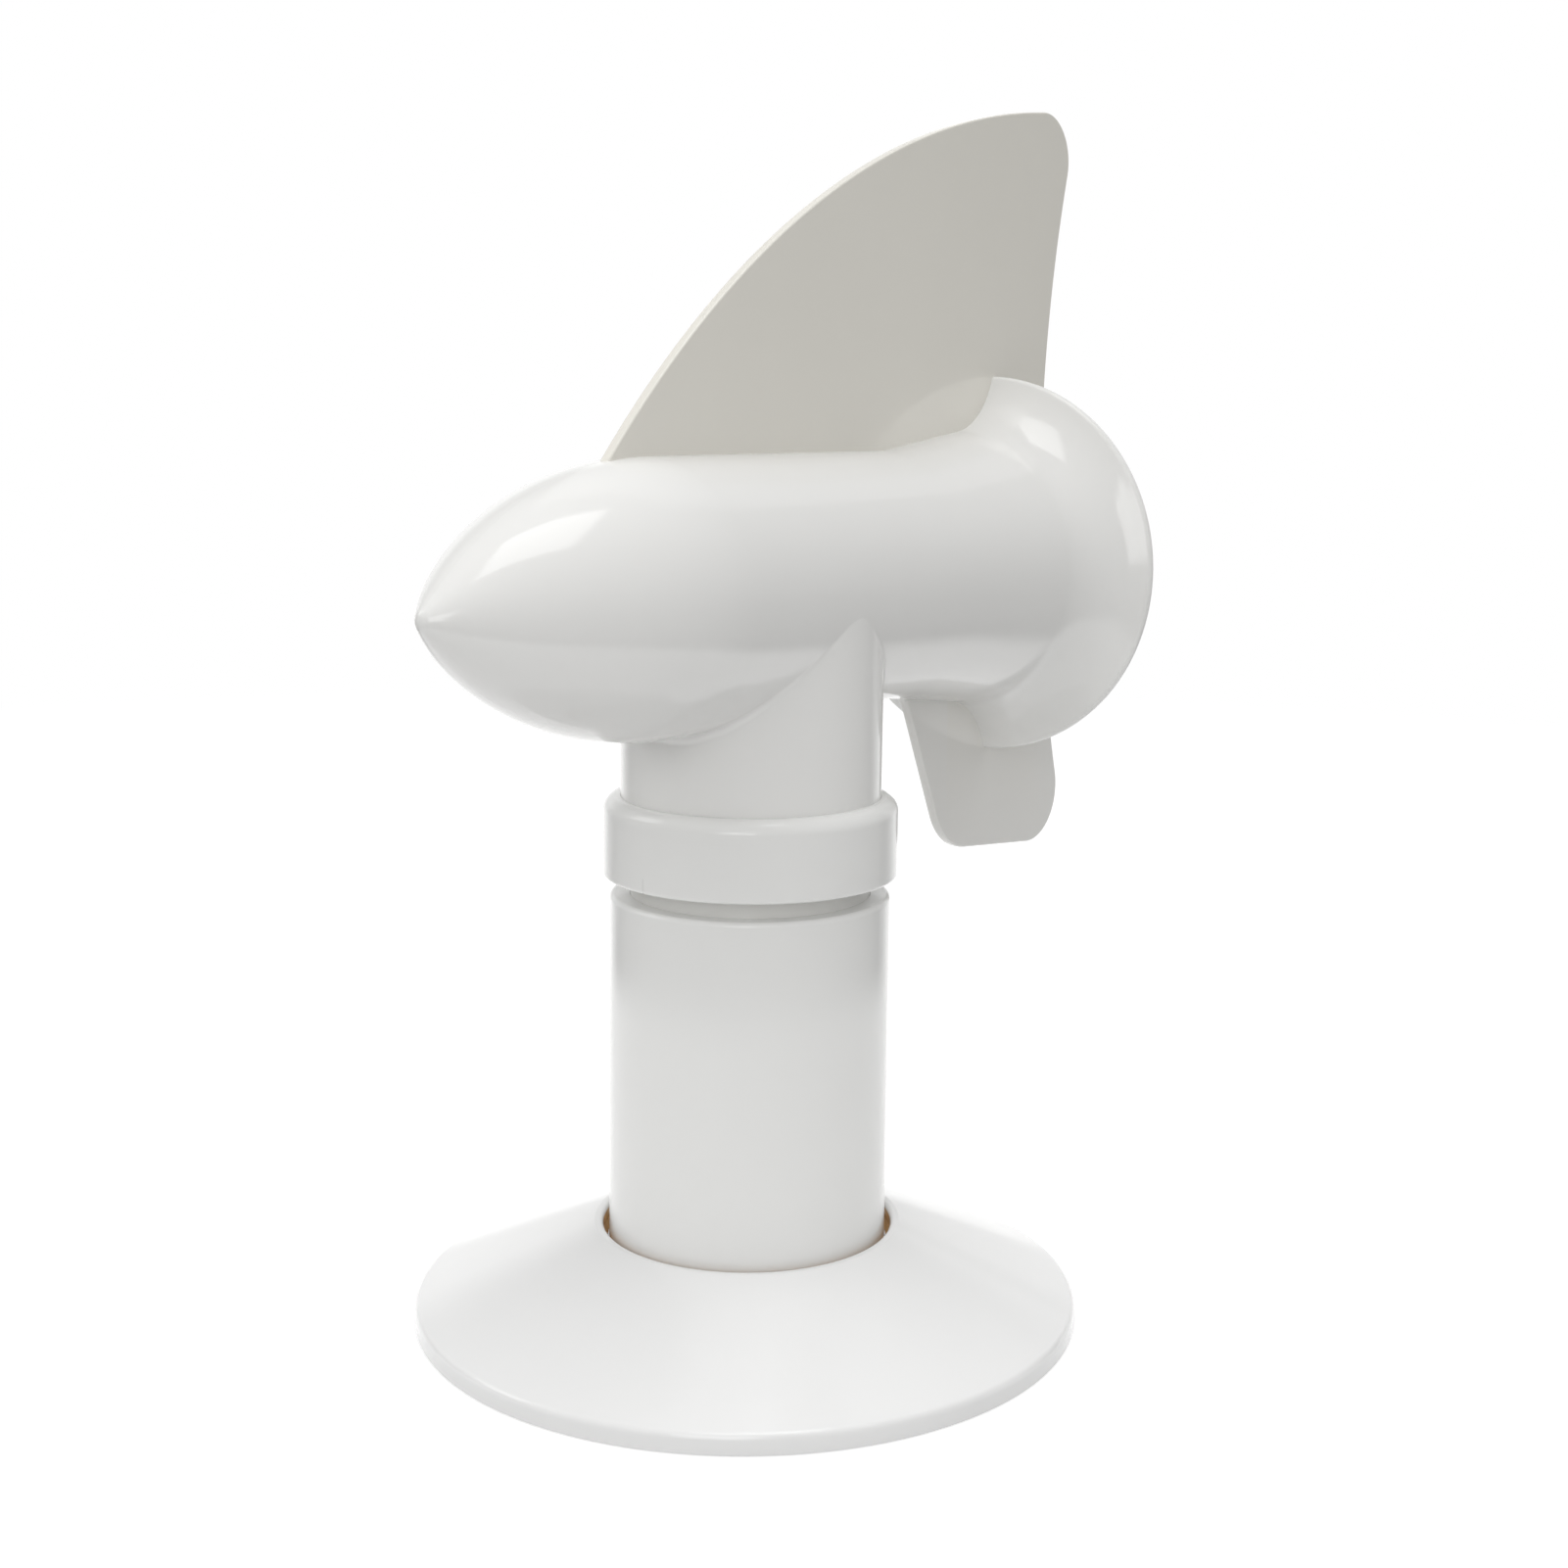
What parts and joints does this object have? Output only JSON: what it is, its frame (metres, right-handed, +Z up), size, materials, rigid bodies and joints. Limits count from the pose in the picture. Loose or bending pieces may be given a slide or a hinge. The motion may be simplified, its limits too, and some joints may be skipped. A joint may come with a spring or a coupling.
{
  "type": "rotating vent cap",
  "caption": "White plastic roof vent cap whose wind vane head turns on a stand pipe over a loose conical roof flange.",
  "frame": {"origin": "on the pipe's axis at roof level, where the vent pipe enters the socket", "axes": "+Z up along the pipe's axis, +X towards the bell mouth and the fin, the nose at -X"},
  "size_m": [0.2448, 0.1556, 0.2905],
  "materials": {
    "gloss_white": "glossy moulded white, slightly warm",
    "acetal": "plain turned ring"
  },
  "bodies": {
    "base": {"roof_flange": "gloss_white", "stand_pipe": "gloss_white", "bearing_spigot": "gloss_white", "thrust_ring": "acetal"},
    "head": {"vane_head": "gloss_white", "swivel_collar": "gloss_white", "wear_ring": "acetal"}
  },
  "joints": [
    {"name": "head_spin", "type": "hinge", "parent": "base", "child": "head", "pos_m": [0, 0, 0.11], "axis": [0, 0, 1], "continuous": true}
  ]
}
